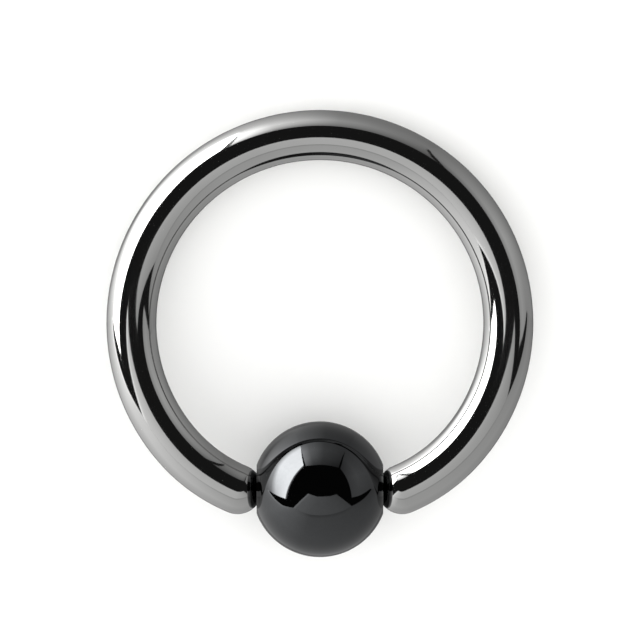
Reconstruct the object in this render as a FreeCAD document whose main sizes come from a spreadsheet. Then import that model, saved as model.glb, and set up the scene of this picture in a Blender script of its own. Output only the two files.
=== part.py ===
import FreeCAD, Part
import Sketcher
import math
import os

# Captive bead ring: a ring of round wire lying on its side, with a bead held between its domed ends.
# Each piece is drawn in the wire's own plane, Z = 0, with the ring's centre at the origin and the bead
# towards -Y. One placement then tips both pieces until the bead and the far side of the wire touch the
# floor at Z = 0, and centres the whole over the origin.

vector = FreeCAD.Vector

# Driving dimensions, in millimetres and degrees. The closing bend is where the wire leaves the ring's own
# circle and curls in towards the bead; it starts that many degrees below the ring's widest point.
driving = {
    "wire_diameter": 1.6,
    "inside_diameter": 10.46,
    "closing_bend_start": 40.0,
    "end_spread": 2.64,
    "bead_drop": 5.335,
    "bead_diameter": 4.352,
    "dimple_width": 1.57,
    "dimple_clearance": 0.03,
}
wire_radius = driving["wire_diameter"] / 2
ring_radius = driving["inside_diameter"] / 2 + wire_radius
bead_radius = driving["bead_diameter"] / 2
bead_drop = driving["bead_drop"]

# The dimple's floor lies one clearance past the tip of the wire's dome. The ring rests on the bead and on
# the far side of the wire, so the difference of their radii sets the tilt.
dimple_floor = driving["end_spread"] - wire_radius - driving["dimple_clearance"]
lying_tilt = math.asin((bead_radius - wire_radius) / (ring_radius + bead_drop))
near_edge = bead_drop * math.cos(lying_tilt) + bead_radius
far_edge = ring_radius * math.cos(lying_tilt) + wire_radius
derived = {
    "dimple_floor": dimple_floor,
    "lying_tilt": math.degrees(lying_tilt),
    "centre_height": wire_radius + ring_radius * math.sin(lying_tilt),
    "centre_shift": (near_edge - far_edge) / 2,
}

doc = FreeCAD.newDocument("captive_bead_ring")
sheet = doc.addObject("Spreadsheet::Sheet", "sizes")
for row, (alias, value) in enumerate({**driving, **derived}.items(), start=1):
    sheet.set(f"A{row}", alias)
    sheet.set(f"B{row}", f"{value:.6f}")
    sheet.setAlias(f"B{row}", alias)
doc.recompute()
ring_radius_cells = "(sizes.inside_diameter + sizes.wire_diameter) / 2"


def new_body(label):
    body = doc.addObject("PartDesign::Body", label)
    body.Label = label
    return body


def origin_plane(body, role):
    return [item for item in body.Origin.OriginFeatures if item.Role == role][0]


def new_sketch(body, name, support, face=""):
    sketch = body.newObject("Sketcher::SketchObject", name)
    sketch.AttachmentSupport = [(support, face)]
    sketch.MapMode = "FlatFace"
    return sketch


def arc(centre, radius, start, end):
    return Part.ArcOfCircle(Part.Circle(centre, vector(0, 0, 1), radius), start, end)


def relate(sketch, *arguments):
    """Add a geometric constraint."""
    sketch.addConstraint(Sketcher.Constraint(*arguments))


def size(sketch, cells, *arguments):
    """Add a dimension and bind it to the sheet's cells."""
    index = sketch.addConstraint(Sketcher.Constraint(*arguments))
    sketch.setExpression(f"Constraints[{index}]", cells)


def flat_face_at(shape, point):
    """Name of the flat face whose centre lies nearest the point."""
    flat_faces = [
        (face.CenterOfMass.distanceToPoint(point), index)
        for index, face in enumerate(shape.Faces, start=1)
        if isinstance(face.Surface, Part.Plane)
    ]
    return f"Face{min(flat_faces)[1]}"


def straight_edge(shape):
    """Name of a sketch's only straight edge."""
    edges = enumerate(shape.Edges, start=1)
    return [f"Edge{index}" for index, edge in edges if isinstance(edge.Curve, Part.Line)][0]


# Wire ring: half of the wire's length is swept along its centreline, domed at the end and mirrored
def draw_centreline(body, end_point):
    """Arc from the far side down to the closing bend, then a tighter tangent arc to the wire's end."""
    bend_angle = math.radians(-driving["closing_bend_start"])
    bend_direction = vector(math.cos(bend_angle), math.sin(bend_angle), 0)
    reach = end_point.dot(bend_direction)
    end_distance = end_point.Length
    bend_radius = (end_distance**2 + ring_radius**2 - 2 * ring_radius * reach) / (2 * (ring_radius - reach))
    bend_centre = bend_direction * (ring_radius - bend_radius)
    end_angle = math.atan2(end_point.y - bend_centre.y, end_point.x - bend_centre.x)

    path = new_sketch(body, "wire_centreline", origin_plane(body, "XY_Plane"))
    main_arc = path.addGeometry(arc(vector(0, 0, 0), ring_radius, bend_angle, math.pi / 2), False)
    bend_arc = path.addGeometry(arc(bend_centre, bend_radius, end_angle, bend_angle), False)
    relate(path, "Coincident", main_arc, 3, -1, 1)
    relate(path, "PointOnObject", main_arc, 2, -2)
    relate(path, "Tangent", main_arc, 1, bend_arc, 2)
    size(path, ring_radius_cells, "Radius", main_arc, ring_radius)
    bend_drop_cells = f"{ring_radius_cells} * sin(sizes.closing_bend_start * 1 deg)"
    size(path, bend_drop_cells, "DistanceY", main_arc, 1, -1, 1, -ring_radius * math.sin(bend_angle))
    size(path, "sizes.end_spread", "DistanceX", -1, 1, bend_arc, 1, end_point.x)
    size(path, "sizes.bead_drop", "DistanceY", bend_arc, 1, -1, 1, -end_point.y)
    return path


def draw_section(body):
    """The wire's round section, at the far side of the ring."""
    section = new_sketch(body, "wire_section", origin_plane(body, "YZ_Plane"))
    circle = Part.Circle(vector(ring_radius, 0, 0), vector(0, 0, 1), wire_radius)
    outline = section.addGeometry(circle, False)
    relate(section, "PointOnObject", outline, 3, -1)
    size(section, ring_radius_cells, "DistanceX", -1, 1, outline, 3, ring_radius)
    size(section, "sizes.wire_diameter / 2", "Radius", outline, wire_radius)
    return section


def draw_half_disc(body, half_wire, end_point):
    """Half of the wire's end face, which turns about its straight side to make the dome."""
    half_disc = new_sketch(body, "dome_section", half_wire, flat_face_at(half_wire.Shape, end_point))
    doc.recompute()
    middle = half_disc.Placement.inverse().multVec(end_point)
    side = vector(wire_radius, 0, 0)
    rim = half_disc.addGeometry(arc(middle, wire_radius, 0, math.pi), False)
    straight = half_disc.addGeometry(Part.LineSegment(middle - side, middle + side), False)
    relate(half_disc, "Coincident", rim, 2, straight, 1)
    relate(half_disc, "Coincident", rim, 1, straight, 2)
    relate(half_disc, "PointOnObject", rim, 3, straight)
    relate(half_disc, "Horizontal", straight)
    relate(half_disc, "DistanceX", -1, 1, rim, 3, middle.x)
    relate(half_disc, "DistanceY", -1, 1, rim, 3, middle.y)
    size(half_disc, "sizes.wire_diameter / 2", "Radius", rim, wire_radius)
    return half_disc


def build_wire_ring():
    body = new_body("wire_ring")
    end_point = vector(driving["end_spread"], -bead_drop, 0)
    path = draw_centreline(body, end_point)
    section = draw_section(body)
    doc.recompute()

    half_wire = body.newObject("PartDesign::AdditivePipe", "half_wire")
    half_wire.Profile = section
    half_wire.Spine = (path, [""])
    doc.recompute()

    half_disc = draw_half_disc(body, half_wire, end_point)
    doc.recompute()
    dome = body.newObject("PartDesign::Revolution", "end_dome")
    dome.Profile = half_disc
    dome.ReferenceAxis = (half_disc, [straight_edge(half_disc.Shape)])
    dome.Angle = 180
    doc.recompute()
    if dome.Shape.Volume <= half_wire.Shape.Volume:
        dome.Reversed = True
        doc.recompute()

    whole_wire = body.newObject("PartDesign::Mirrored", "whole_wire")
    whole_wire.Originals = [half_wire, dome]
    whole_wire.MirrorPlane = (origin_plane(body, "YZ_Plane"), [""])
    body.Tip = whole_wire
    return body


# Captive bead: a ball with a round-bottomed dimple on each side, turned about the line through them
def build_captive_bead():
    body = new_body("captive_bead")
    rim_radius = driving["dimple_width"] / 2
    rim_spread = math.sqrt(bead_radius**2 - rim_radius**2)
    dimple_depth = rim_spread - dimple_floor
    dimple_radius = (rim_radius**2 + dimple_depth**2) / (2 * dimple_depth)
    dimple_spread = dimple_floor + dimple_radius
    rim_angle = math.asin(rim_radius / bead_radius)
    dimple_angle = math.asin(rim_radius / dimple_radius)

    outline = new_sketch(body, "bead_outline", origin_plane(body, "XY_Plane"))
    middle = vector(0, -bead_drop, 0)
    ball_arc = arc(middle, bead_radius, rim_angle, math.pi - rim_angle)
    right_arc = arc(middle + vector(dimple_spread, 0, 0), dimple_radius, math.pi - dimple_angle, math.pi)
    left_arc = arc(middle - vector(dimple_spread, 0, 0), dimple_radius, 0, dimple_angle)
    axis_line = Part.LineSegment(middle - vector(dimple_floor, 0, 0), middle + vector(dimple_floor, 0, 0))
    ball, right, left, axis = outline.addGeometry([ball_arc, right_arc, left_arc, axis_line], False)
    relate(outline, "Coincident", ball, 1, right, 1)
    relate(outline, "Coincident", ball, 2, left, 2)
    relate(outline, "Coincident", right, 2, axis, 2)
    relate(outline, "Coincident", left, 1, axis, 1)
    relate(outline, "Horizontal", axis)
    for centred in (ball, right, left):
        relate(outline, "PointOnObject", centred, 3, axis)
    relate(outline, "PointOnObject", ball, 3, -2)
    size(outline, "sizes.bead_diameter / 2", "Radius", ball, bead_radius)
    size(outline, "sizes.bead_drop", "DistanceY", ball, 3, -1, 1, bead_drop)
    size(outline, "sizes.dimple_width / 2", "DistanceY", axis, 2, ball, 1, rim_radius)
    size(outline, "sizes.dimple_width / 2", "DistanceY", axis, 1, ball, 2, rim_radius)
    size(outline, "sizes.dimple_floor", "DistanceX", -1, 1, axis, 2, dimple_floor)
    size(outline, "sizes.dimple_floor", "DistanceX", axis, 1, -1, 1, dimple_floor)
    doc.recompute()

    turned_bead = body.newObject("PartDesign::Revolution", "turned_bead")
    turned_bead.Profile = outline
    turned_bead.ReferenceAxis = (outline, [straight_edge(outline.Shape)])
    turned_bead.Angle = 360
    body.Tip = turned_bead
    return body


def lay_on_side(body):
    """Tip the piece about X, lift it to its resting height and centre the whole over the origin."""
    tip = FreeCAD.Rotation(vector(1, 0, 0), -derived["lying_tilt"])
    body.Placement = FreeCAD.Placement(vector(0, 0, 0), tip)
    body.setExpression("Placement.Rotation.Angle", "-sizes.lying_tilt")
    body.setExpression("Placement.Base.y", "sizes.centre_shift")
    body.setExpression("Placement.Base.z", "sizes.centre_height")


pieces = [build_wire_ring(), build_captive_bead()]
doc.recompute()
for piece in pieces:
    lay_on_side(piece)
doc.recompute()

for item in doc.Objects:
    if "Invalid" in item.State or "Error" in item.State:
        raise RuntimeError(f"{item.Name} could not be worked out")
for piece in pieces:
    if piece.Shape.isNull() or not piece.Shape.isValid():
        raise RuntimeError(f"{piece.Label} has no valid shape")

os.makedirs("parts", exist_ok=True)
for piece in pieces:
    piece.Shape.exportStep(f"parts/{piece.Label}.step")
    bounds = piece.Shape.optimalBoundingBox(False, False)
    print(f"{piece.Label}: {piece.Shape.Volume:.3f} mm3, {len(piece.Shape.Solids)} solid")
    print(f"  x {bounds.XMin:.3f} to {bounds.XMax:.3f}, y {bounds.YMin:.3f} to {bounds.YMax:.3f}")
    print(f"  z {bounds.ZMin:.3f} to {bounds.ZMax:.3f}")
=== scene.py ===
import math
import bmesh
import bpy
from mathutils import Matrix, Vector


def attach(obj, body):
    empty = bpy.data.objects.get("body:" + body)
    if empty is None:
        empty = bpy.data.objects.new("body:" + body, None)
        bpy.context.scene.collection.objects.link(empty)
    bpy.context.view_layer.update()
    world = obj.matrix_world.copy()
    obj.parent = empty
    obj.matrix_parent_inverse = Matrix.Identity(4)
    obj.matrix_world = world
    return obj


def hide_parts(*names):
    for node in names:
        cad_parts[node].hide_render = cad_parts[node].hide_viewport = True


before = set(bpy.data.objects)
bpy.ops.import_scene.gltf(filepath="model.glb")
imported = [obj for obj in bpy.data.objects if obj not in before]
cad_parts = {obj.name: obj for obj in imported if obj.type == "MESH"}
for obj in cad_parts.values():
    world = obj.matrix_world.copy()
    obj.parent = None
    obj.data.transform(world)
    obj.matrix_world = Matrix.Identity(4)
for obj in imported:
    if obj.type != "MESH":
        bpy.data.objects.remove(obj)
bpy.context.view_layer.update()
print("frame loaded")

# Captive bead ring lying on its side: a polished steel wire ring and the dark haematite bead between its
# ends. Each piece is made in the wire's own plane, ring centre at the origin and bead towards -Y, and then
# laid on the floor like its CAD node.

weldDistance = 1e-7  # joins the points that meet at a dome's tip or on the bead's axis


def addNode(tree, kind, values=None, links=None, **settings):
    # values and links go by the input's name or number
    node = tree.nodes.new(kind)
    for key, value in settings.items():
        setattr(node, key, value)
    for key, value in (values or {}).items():
        node.inputs[key].default_value = value
    for key, source in (links or {}).items():
        tree.links.new(source, node.inputs[key])
    return node


def hexColour(text):
    # sRGB hex to linear
    channels = [int(text[i : i + 2], 16) / 255 for i in (1, 3, 5)]
    return [c / 12.92 if c <= 0.04045 else ((c + 0.055) / 1.055) ** 2.4 for c in channels] + [1]


def newMaterial(name):
    material = bpy.data.materials.new(name)
    material.use_nodes = True
    tree = material.node_tree
    tree.nodes.clear()
    return material, tree


def mixTones(tree, tones, pattern):
    dark, pale = tones
    return addNode(
        tree,
        "ShaderNodeMix",
        {6: hexColour(dark), 7: hexColour(pale)},
        {0: pattern.outputs["Fac"]},
        data_type="RGBA",
    )


def finishShader(tree, shader):
    addNode(tree, "ShaderNodeOutputMaterial", links={"Surface": shader.outputs[0]})


def arcPoints(centre, radius, start, end, steps):
    # steps + 1 points, start and end in radians
    angles = [start + (end - start) * i / steps for i in range(steps + 1)]
    return [centre + radius * Vector((math.cos(a), math.sin(a), 0)) for a in angles]


def newObject(name, mesh):
    made = bpy.data.objects.new(name, mesh)
    bpy.context.scene.collection.objects.link(made)
    return made


wireRing = {
    "wireDiameter": 0.0016,
    "insideDiameter": 0.01046,
    "closingBendStart": 40,  # degrees below the ring's widest point
    "endSpread": 0.00264,  # from the middle of the bead to the middle of each dome
    "beadDrop": 0.005335,  # from the ring's centre to the line that both domes lie on
    "sides": 120,
    "mainSteps": 300,  # along half of the ring's own circle
    "bendSteps": 24,
    "domeSteps": 24,
    "tones": ("#a5a5a4", "#ababaa"),
    "roughness": (0.05, 0.085),
    "waverScale": 900,
    "hairlineScale": 22000,  # coarser than real hairlines, which are too fine to show
    "hairlineStretch": 0.02,  # how fast they change along the wire, when across it is 1
}

wireRadius = wireRing["wireDiameter"] / 2
ringRadius = wireRing["insideDiameter"] / 2 + wireRadius


# Surgical steel wire, drawn, bent and tumbled to a mirror: crisp reflections that waver very slightly along
# the wire, with a faint film of hairlines that runs round the ring
def mirrorPolishedSteel():
    material, tree = newMaterial("mirror_polished_surgical_steel")
    track = addNode(tree, "ShaderNodeAttribute", attribute_name="wireTrack")
    stretched = addNode(
        tree,
        "ShaderNodeVectorMath",
        {1: (1, 1, wireRing["hairlineStretch"])},
        {0: track.outputs["Vector"]},
        operation="MULTIPLY",
    )
    hairlines = addNode(
        tree,
        "ShaderNodeTexNoise",
        {"Scale": wireRing["hairlineScale"], "Detail": 3, "Roughness": 0.6},
        {"Vector": stretched.outputs[0]},
    )
    waver = addNode(
        tree,
        "ShaderNodeTexNoise",
        {"Scale": wireRing["waverScale"], "Detail": 1},
        {"Vector": track.outputs["Vector"]},
    )
    smoothest, roughest = wireRing["roughness"]
    roughness = addNode(
        tree,
        "ShaderNodeMapRange",
        {"From Min": 0.35, "From Max": 0.75, "To Min": smoothest, "To Max": roughest},
        {"Value": hairlines.outputs["Fac"]},
    )
    tone = mixTones(tree, wireRing["tones"], waver)
    waves = addNode(
        tree, "ShaderNodeBump", {"Strength": 0.04, "Distance": 0.00002}, {"Height": waver.outputs["Fac"]}
    )
    fine = addNode(
        tree,
        "ShaderNodeBump",
        {"Strength": 0.02, "Distance": 0.000004},
        {"Height": hairlines.outputs["Fac"], "Normal": waves.outputs[0]},
    )
    steel = addNode(
        tree,
        "ShaderNodeBsdfPrincipled",
        {"Metallic": 1.0},
        {"Base Color": tone.outputs[2], "Roughness": roughness.outputs[0], "Normal": fine.outputs[0]},
    )
    finishShader(tree, steel)
    return material


def tracePath():
    # The wire's middle line as (point, girth): girth is 1 along the wire and falls to 0 at each dome's tip
    bendAngle = math.radians(-wireRing["closingBendStart"])
    bendWay = Vector((math.cos(bendAngle), math.sin(bendAngle), 0))
    end = Vector((wireRing["endSpread"], -wireRing["beadDrop"], 0))

    # The closing bend leaves the ring's circle smoothly and runs through the middle of the dome
    reach = end.dot(bendWay)
    bendRadius = (end.length**2 + ringRadius**2 - 2 * ringRadius * reach) / (2 * (ringRadius - reach))
    bendCentre = bendWay * (ringRadius - bendRadius)
    endAngle = math.atan2(end.y - bendCentre.y, end.x - bendCentre.x)
    heading = Vector((math.sin(endAngle), -math.cos(endAngle), 0))

    line = arcPoints(Vector((0, 0, 0)), ringRadius, math.pi / 2, bendAngle, wireRing["mainSteps"])
    line += arcPoints(bendCentre, bendRadius, bendAngle, endAngle, wireRing["bendSteps"])[1:]
    half = [(point, 1.0) for point in line]
    for step in range(1, wireRing["domeSteps"] + 1):
        turn = math.pi / 2 * step / wireRing["domeSteps"]
        half.append((end + heading * wireRadius * math.sin(turn), math.cos(turn)))
    otherHalf = [(Vector((-point.x, point.y, 0)), girth) for point, girth in half[1:]]
    return otherHalf[::-1] + half


def sweepTree():
    # Sweeps a round section along a line of edges and keeps each point's place on the wire for the finish
    tree = bpy.data.node_groups.new("round wire along a line", "GeometryNodeTree")
    tree.interface.new_socket("Geometry", in_out="INPUT", socket_type="NodeSocketGeometry")
    tree.interface.new_socket("Wire Radius", in_out="INPUT", socket_type="NodeSocketFloat")
    tree.interface.new_socket("Sides", in_out="INPUT", socket_type="NodeSocketInt")
    tree.interface.new_socket("Finish", in_out="INPUT", socket_type="NodeSocketMaterial")
    tree.interface.new_socket("Geometry", in_out="OUTPUT", socket_type="NodeSocketGeometry")
    given = addNode(tree, "NodeGroupInput")
    line = addNode(tree, "GeometryNodeMeshToCurve", links={"Mesh": given.outputs["Geometry"]})
    upright = addNode(
        tree, "GeometryNodeSetCurveNormal", links={"Curve": line.outputs["Curve"]}, mode="Z_UP"
    )
    girth = addNode(tree, "GeometryNodeInputNamedAttribute", {"Name": "girth"}, data_type="FLOAT")
    radius = addNode(
        tree,
        "ShaderNodeMath",
        links={0: girth.outputs["Attribute"], 1: given.outputs["Wire Radius"]},
        operation="MULTIPLY",
    )

    # Length along the line, and place on a section of radius 1
    along = addNode(tree, "GeometryNodeSplineParameter")
    keptPath = addNode(tree, "GeometryNodeCaptureAttribute", links={"Geometry": upright.outputs["Curve"]})
    keptPath.capture_items.new("FLOAT", "along")
    tree.links.new(along.outputs["Length"], keptPath.inputs["along"])
    section = addNode(
        tree, "GeometryNodeCurvePrimitiveCircle", {"Radius": 1.0}, {"Resolution": given.outputs["Sides"]}
    )
    place = addNode(tree, "GeometryNodeInputPosition")
    keptSection = addNode(tree, "GeometryNodeCaptureAttribute", links={"Geometry": section.outputs["Curve"]})
    keptSection.capture_items.new("VECTOR", "across")
    tree.links.new(place.outputs["Position"], keptSection.inputs["across"])
    swept = addNode(
        tree,
        "GeometryNodeCurveToMesh",
        links={
            "Curve": keptPath.outputs["Geometry"],
            "Profile Curve": keptSection.outputs["Geometry"],
            "Scale": radius.outputs[0],
        },
    )

    # Both go into one attribute in metres, which the steel's hairlines follow
    across = addNode(
        tree,
        "ShaderNodeVectorMath",
        links={0: keptSection.outputs["across"], "Scale": given.outputs["Wire Radius"]},
        operation="SCALE",
    )
    split = addNode(tree, "ShaderNodeSeparateXYZ", links={0: across.outputs[0]})
    track = addNode(
        tree,
        "ShaderNodeCombineXYZ",
        links={0: split.outputs[0], 1: split.outputs[1], 2: keptPath.outputs["along"]},
    )
    marked = addNode(
        tree,
        "GeometryNodeStoreNamedAttribute",
        {"Name": "wireTrack"},
        {"Geometry": swept.outputs["Mesh"], "Value": track.outputs[0]},
        data_type="FLOAT_VECTOR",
        domain="POINT",
    )
    closed = addNode(
        tree,
        "GeometryNodeMergeByDistance",
        {"Distance": weldDistance},
        {"Geometry": marked.outputs["Geometry"]},
    )
    smooth = addNode(tree, "GeometryNodeSetShadeSmooth", links={"Geometry": closed.outputs["Geometry"]})
    real = addNode(tree, "GeometryNodeRealizeInstances", links={"Geometry": smooth.outputs["Geometry"]})
    dressed = addNode(
        tree,
        "GeometryNodeSetMaterial",
        links={"Geometry": real.outputs["Geometry"], "Material": given.outputs["Finish"]},
    )
    addNode(tree, "NodeGroupOutput", links={"Geometry": dressed.outputs["Geometry"]})
    return tree


def makeWireRing(finish):
    points = tracePath()
    mesh = bpy.data.meshes.new("wire_line")
    mesh.from_pydata([point for point, girth in points], [(i, i + 1) for i in range(len(points) - 1)], [])
    girths = mesh.attributes.new("girth", "FLOAT", "POINT")
    girths.data.foreach_set("value", [girth for point, girth in points])
    host = newObject("wire_line", mesh)

    tree = sweepTree()
    sweep = host.modifiers.new("sweep", "NODES")
    sweep.node_group = tree
    inputs = {item.name: item.identifier for item in tree.interface.items_tree if item.in_out == "INPUT"}
    sweep[inputs["Wire Radius"]] = wireRadius
    sweep[inputs["Sides"]] = wireRing["sides"]
    sweep[inputs["Finish"]] = finish
    evaluated = host.evaluated_get(bpy.context.evaluated_depsgraph_get())
    wire = bpy.data.meshes.new_from_object(evaluated)
    bpy.data.objects.remove(host)
    print("wire ring made,", len(wire.polygons), "faces")
    return wire


captiveBead = {
    "diameter": 0.004352,
    "dimpleWidth": 0.00157,
    "dimpleClearance": 0.00003,
    "rimRounding": 0.00003,
    "ballSteps": 96,
    "dimpleSteps": 24,
    "rimSteps": 8,
    "turnSteps": 160,
    "tones": ("#424344", "#474849"),
    "roughness": (0.03, 0.06),
    "grainScale": 9000,  # coarser than the stone's own grain, which is too fine to show
}

beadRadius = captiveBead["diameter"] / 2
beadMiddle = Vector((0, -wireRing["beadDrop"], 0))


# Haematite, ground round and polished: a dark metallic mirror with a barely visible grain of paler specks
def polishedHaematite():
    material, tree = newMaterial("polished_haematite")
    place = addNode(tree, "ShaderNodeTexCoord")
    grain = addNode(
        tree,
        "ShaderNodeTexNoise",
        {"Scale": captiveBead["grainScale"], "Detail": 4},
        {"Vector": place.outputs["Object"]},
    )
    tone = mixTones(tree, captiveBead["tones"], grain)
    smoothest, roughest = captiveBead["roughness"]
    roughness = addNode(
        tree,
        "ShaderNodeMapRange",
        {"From Min": 0.35, "From Max": 0.7, "To Min": smoothest, "To Max": roughest},
        {"Value": grain.outputs["Fac"]},
    )
    bump = addNode(
        tree, "ShaderNodeBump", {"Strength": 0.02, "Distance": 0.000003}, {"Height": grain.outputs["Fac"]}
    )
    stone = addNode(
        tree,
        "ShaderNodeBsdfPrincipled",
        {"Metallic": 1.0},
        {"Base Color": tone.outputs[2], "Roughness": roughness.outputs[0], "Normal": bump.outputs[0]},
    )
    finishShader(tree, stone)
    return material


def beadOutline():
    # From one dimple's floor over the ball to the other's, as distances along and out from the axis
    rimRadius = captiveBead["dimpleWidth"] / 2
    rimSpread = math.sqrt(beadRadius**2 - rimRadius**2)
    floorSpread = wireRing["endSpread"] - wireRadius - captiveBead["dimpleClearance"]
    depth = rimSpread - floorSpread
    dimpleRadius = (rimRadius**2 + depth**2) / (2 * depth)
    dimpleCentre = Vector((floorSpread + dimpleRadius, 0, 0))

    # The rim's rounding touches the ball from inside and the dimple from outside
    rounding = captiveBead["rimRounding"]
    toBall = beadRadius - rounding
    toDimple = dimpleRadius + rounding
    along = (toBall**2 - toDimple**2 + dimpleCentre.x**2) / (2 * dimpleCentre.x)
    rimCentre = Vector((along, math.sqrt(toBall**2 - along**2), 0))
    ballAngle = math.atan2(rimCentre.y, rimCentre.x)
    dimpleAngle = math.atan2(rimCentre.y, rimCentre.x - dimpleCentre.x)

    dimple = arcPoints(dimpleCentre, dimpleRadius, math.pi, dimpleAngle, captiveBead["dimpleSteps"])
    rim = arcPoints(rimCentre, rounding, dimpleAngle - math.pi, ballAngle, captiveBead["rimSteps"])
    ball = arcPoints(Vector((0, 0, 0)), beadRadius, ballAngle, math.pi / 2, captiveBead["ballSteps"] // 2)
    half = dimple + rim[1:] + ball[1:]
    return half + [Vector((-point.x, point.y, 0)) for point in half[-2::-1]]


def makeBead(finish):
    form = bmesh.new()
    corners = [form.verts.new(beadMiddle + point) for point in beadOutline()]
    edges = [form.edges.new(pair) for pair in zip(corners, corners[1:])]
    bmesh.ops.spin(
        form,
        geom=corners + edges,
        cent=beadMiddle,
        axis=(1, 0, 0),
        angle=2 * math.pi,
        steps=captiveBead["turnSteps"],
        use_merge=True,
    )
    bmesh.ops.remove_doubles(form, verts=form.verts, dist=weldDistance)
    bmesh.ops.recalc_face_normals(form, faces=form.faces)
    bead = bpy.data.meshes.new("haematite_bead")
    form.to_mesh(bead)
    form.free()
    bead.shade_smooth()
    bead.materials.append(finish)
    print("bead made,", len(bead.polygons), "faces")
    return bead


# How it lies: on the far side of the wire and on the bead, tilted because the bead is thicker than the wire,
# with the middle of its length over the origin
lyingTilt = math.asin((beadRadius - wireRadius) / (ringRadius + wireRing["beadDrop"]))
nearEdge = wireRing["beadDrop"] * math.cos(lyingTilt) + beadRadius
farEdge = ringRadius * math.cos(lyingTilt) + wireRadius
ringCentre = Vector((0, (nearEdge - farEdge) / 2, wireRadius + ringRadius * math.sin(lyingTilt)))
lieDown = Matrix.Translation(ringCentre) @ Matrix.Rotation(-lyingTilt, 4, "X")


def layPiece(name, mesh, node, body):
    # Laid down in place of its CAD node, on the same body
    mesh.transform(lieDown)
    piece = newObject(name, mesh)
    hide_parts(node)
    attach(piece, body)


# Studio: the camera looks almost square on to the ring through a dark gap between soft boards, which the
# polished metal mirrors. A board is rows of corners with straight lines between them, and a corner is
# (degrees off the camera's line, degrees round that line from the right, glow).
studio = {
    "cameraLean": 4.5,  # degrees off the ring's axis, away from the bead
    "lens": 400,
    "clipStart": 0.01,
    "frameWidth": 640,  # pixels
    "pixelSize": 0.000032,  # one pixel of the frame, at the ring
    "ringPixel": (319.9, 323.3),  # the ring's centre in the frame
    "roomGlow": 1.55,
    "gapGlow": 0.018,  # what the metal mirrors between the boards
    "secondGlow": 1.2,  # the most that a board glows in a reflection of a reflection
    "boardDistance": 0.5,
    "boardSteps": 5,  # faces between two corners
    "floorSize": 6.0,
    "floorTones": ("#e9e9e7", "#eeeeed"),
}

boards = {
    "left": [
        # The first rows are a soft edge: a sudden one this bright would look jagged
        [(48.6, 124.8, 0.3), (48.6, 155, 0.3), (60.6, 196.3, 0.3)],
        [(50.6, 124.4, 2.4), (50.6, 155, 2.4), (62.6, 195.6, 2.4)],
        [(51.6, 124, 13.7), (51.6, 155, 13.7), (63.6, 195, 13.7)],
        [(82, 115.4, 12.6), (84, 152, 13.7), (80, 188, 8)],
        [(91, 114, 4), (92, 150, 6), (91, 184, 2.5)],
        [(100, 114, 1.6), (111, 150, 3.2), (100, 181.5, 1.7)],
        [(136, 114, 0.8), (135, 150, 0.4), (136, 181.5, 0.9)],
        [(150, 114, 0.55), (150, 150, 0.45), (150, 181.5, 0.5)],
    ],
    "top": [
        [(47.5, 121.2, 1.6), (43.5, 105, 0.5), (43, 84, 0.34), (50, 49, 0.15)],
        [(58, 118.8, 3), (58, 105, 1.3), (58, 84, 0.56), (58, 52.5, 0.25)],
        [(73, 116, 3.6), (73, 105, 1.7), (73, 84, 0.67), (73, 55.5, 0.36)],
        [(98, 114, 1.5), (98, 105, 1.15), (98, 84, 0.5), (90, 56, 0.42)],
        [(150, 114, 0.55), (150, 105, 0.46), (150, 84, 0.33), (150, 54, 0.28)],
    ],
    "right": [
        [(51, 45.5, 0.28), (50.5, 22, 0.52), (57.5, 345.5, 0.6)],
        [(70, 53, 0.42), (70, 20, 0.8), (70, 350, 0.64)],
        [(90, 57, 0.42), (92, 20, 0.68), (94, 359.5, 0.52)],
        [(134, 58, 0.36), (134, 20, 0.38), (130, 359.5, 0.5)],
        [(150, 58, 0.26), (150, 20, 0.26), (150, 359.5, 0.3)],
    ],
    "near": [
        [(21, 199, 2.2), (18.5, 206, 1.3), (12.5, 250, 1), (20, 326, 0.78), (29, 344, 0.62)],
        [(56, 215, 2.2), (54, 219, 1.35), (46, 250, 1), (55.5, 319, 0.74), (63, 332, 0.62)],
    ],
    "low": [
        [
            (98, 181.5, 4.2), (72, 204, 2.6), (56, 215, 1.5), (46, 250, 0.5),
            (55.5, 319, 0.5), (63, 332, 0.55), (99, 359.5, 0.42),
        ],
        [
            (101, 181.5, 2), (77, 204, 1.9), (62, 215, 1.5), (52, 250, 0.8),
            (62, 319, 0.65), (69, 332, 0.6), (103, 359.5, 0.43),
        ],
        [
            (112, 181.5, 1.4), (100, 204, 1.6), (90, 215, 1.45), (90, 250, 0.88),
            (94, 319, 0.66), (100, 332, 0.63), (116, 359.5, 0.5),
        ],
        [
            (150, 181.5, 0.5), (150, 204, 0.72), (150, 215, 0.72), (150, 250, 0.6),
            (150, 319, 0.47), (150, 332, 0.4), (150, 359.5, 0.32),
        ],
    ],
    "behind": [
        [(150, turn, 0.28 - 0.1 * math.cos(math.radians(turn))) for turn in range(0, 361, 30)],
        [(178, turn, 0.22) for turn in range(0, 361, 30)],
    ],
}

cameraTilt = lyingTilt + math.radians(studio["cameraLean"])
cameraRight = Vector((1, 0, 0))
cameraUp = Vector((0, math.cos(cameraTilt), -math.sin(cameraTilt)))
cameraBack = Vector((0, math.sin(cameraTilt), math.cos(cameraTilt)))


def boardCorner(off, turn, glow):
    # Direction from the ring, right, up and towards the camera, with the glow as a fourth number
    off, turn = math.radians(off), math.radians(turn)
    return Vector((math.sin(off) * math.cos(turn), math.sin(off) * math.sin(turn), math.cos(off), glow))


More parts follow.
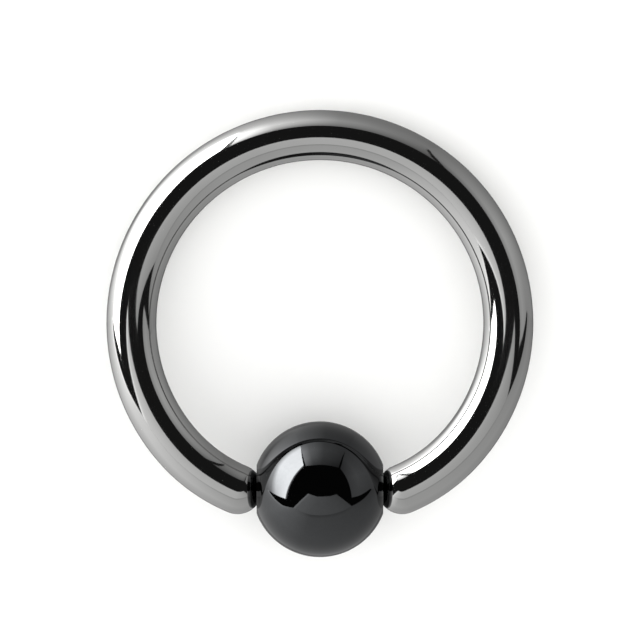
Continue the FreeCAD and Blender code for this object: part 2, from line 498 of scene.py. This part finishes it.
def glowMaterial():
    # Glows as the corners say, but less from the second mirroring on, where thin bright lines would sparkle
    material, tree = newMaterial("softbox_glow")
    level = addNode(tree, "ShaderNodeAttribute", attribute_name="glow")
    ray = addNode(tree, "ShaderNodeLightPath")
    again = addNode(
        tree, "ShaderNodeMath", {1: 1}, {0: ray.outputs["Glossy Depth"]}, operation="GREATER_THAN"
    )
    held = addNode(
        tree, "ShaderNodeMath", {1: studio["secondGlow"]}, {0: level.outputs["Fac"]}, operation="MINIMUM"
    )
    seen = addNode(
        tree,
        "ShaderNodeMix",
        links={0: again.outputs[0], 2: level.outputs["Fac"], 3: held.outputs[0]},
        data_type="FLOAT",
    )
    light = addNode(
        tree, "ShaderNodeEmission", {"Color": (1, 1, 1, 1)}, {"Strength": seen.outputs[0]}
    )
    finishShader(tree, light)
    material.cycles.emission_sampling = "NONE"
    return material


def spread(corners):
    # Even steps between each pair of corners
    steps = studio["boardSteps"]
    between = [a.lerp(b, i / steps) for a, b in zip(corners, corners[1:]) for i in range(steps)]
    return between + [corners[-1]]


def makeBoards():
    # Seen in the metal alone: the camera, the floor's light and the shadows pass them by
    shared = glowMaterial()
    toScene = Matrix((cameraRight, cameraUp, cameraBack)).transposed() * studio["boardDistance"]
    for name, rows in boards.items():
        wide = [spread([boardCorner(*corner) for corner in row]) for row in rows]
        columns = [spread(column) for column in zip(*wide)]
        count = len(columns[0])
        corners = [corner for column in columns for corner in column]
        faces = [
            (i * count + j, i * count + j + 1, (i + 1) * count + j + 1, (i + 1) * count + j)
            for i in range(len(columns) - 1)
            for j in range(count - 1)
        ]
        mesh = bpy.data.meshes.new(name + "_board")
        mesh.from_pydata([ringCentre + toScene @ corner.xyz for corner in corners], [], faces)
        levels = mesh.attributes.new("glow", "FLOAT", "POINT")
        levels.data.foreach_set("value", [corner.w for corner in corners])
        mesh.materials.append(shared)
        made = newObject(name + "_board", mesh)
        made.visible_camera = False
        made.visible_diffuse = False
        made.visible_shadow = False


# Pale seamless board under the ring: matt, with a cloudy tone too faint to notice and a fine tooth
def paleMattFloor():
    material, tree = newMaterial("pale_matt_floor")
    place = addNode(tree, "ShaderNodeTexCoord")
    clouds = addNode(
        tree, "ShaderNodeTexNoise", {"Scale": 60, "Detail": 2}, {"Vector": place.outputs["Object"]}
    )
    tooth = addNode(
        tree, "ShaderNodeTexNoise", {"Scale": 2500, "Detail": 2}, {"Vector": place.outputs["Object"]}
    )
    tone = mixTones(tree, studio["floorTones"], clouds)
    bump = addNode(
        tree, "ShaderNodeBump", {"Strength": 0.05, "Distance": 0.00002}, {"Height": tooth.outputs["Fac"]}
    )
    board = addNode(
        tree,
        "ShaderNodeBsdfPrincipled",
        {"Roughness": 0.7},
        {"Base Color": tone.outputs[2], "Normal": bump.outputs[0]},
    )
    finishShader(tree, board)
    return material


def makeFloor():
    half = studio["floorSize"] / 2
    corners = [(-half, -half, 0), (half, -half, 0), (half, half, 0), (-half, half, 0)]
    mesh = bpy.data.meshes.new("floor")
    mesh.from_pydata(corners, [], [(0, 1, 2, 3)])
    mesh.materials.append(paleMattFloor())
    floor = newObject("floor", mesh)
    floor.visible_glossy = False  # the metal mirrors the boards below it instead


def makeRoom():
    # A pale room lights the floor, and the polished metal sees the dark between the boards in its place
    world = bpy.data.worlds.new("room")
    world.use_nodes = True
    tree = world.node_tree
    tree.nodes.clear()
    ray = addNode(tree, "ShaderNodeLightPath")
    level = addNode(
        tree,
        "ShaderNodeMapRange",
        {"To Min": studio["roomGlow"], "To Max": studio["gapGlow"]},
        {"Value": ray.outputs["Is Glossy Ray"]},
    )
    glow = addNode(
        tree, "ShaderNodeBackground", {"Color": (1, 1, 1, 1)}, {"Strength": level.outputs[0]}
    )
    addNode(tree, "ShaderNodeOutputWorld", links={"Surface": glow.outputs[0]})
    bpy.context.scene.world = world


def makeCamera():
    data = bpy.data.cameras.new("camera")
    data.lens = studio["lens"]
    data.clip_start = studio["clipStart"]
    distance = data.lens / data.sensor_width * studio["frameWidth"] * studio["pixelSize"]
    middle = studio["frameWidth"] / 2
    ringRight, ringDown = studio["ringPixel"]
    offRight = (middle - ringRight) * studio["pixelSize"]
    offUp = (ringDown - middle) * studio["pixelSize"]
    target = ringCentre + cameraRight * offRight + cameraUp * offUp
    camera = newObject("camera", data)
    axes = Matrix((cameraRight, cameraUp, cameraBack)).transposed().to_4x4()
    camera.matrix_world = Matrix.Translation(target + cameraBack * distance) @ axes
    bpy.context.scene.camera = camera


layPiece("polished_wire", makeWireRing(mirrorPolishedSteel()), "wire_ring", "ring")
layPiece("haematite_bead", makeBead(polishedHaematite()), "captive_bead", "bead")
makeFloor()
makeBoards()
makeRoom()
makeCamera()
bpy.context.scene.view_settings.view_transform = "Standard"
print("studio set")
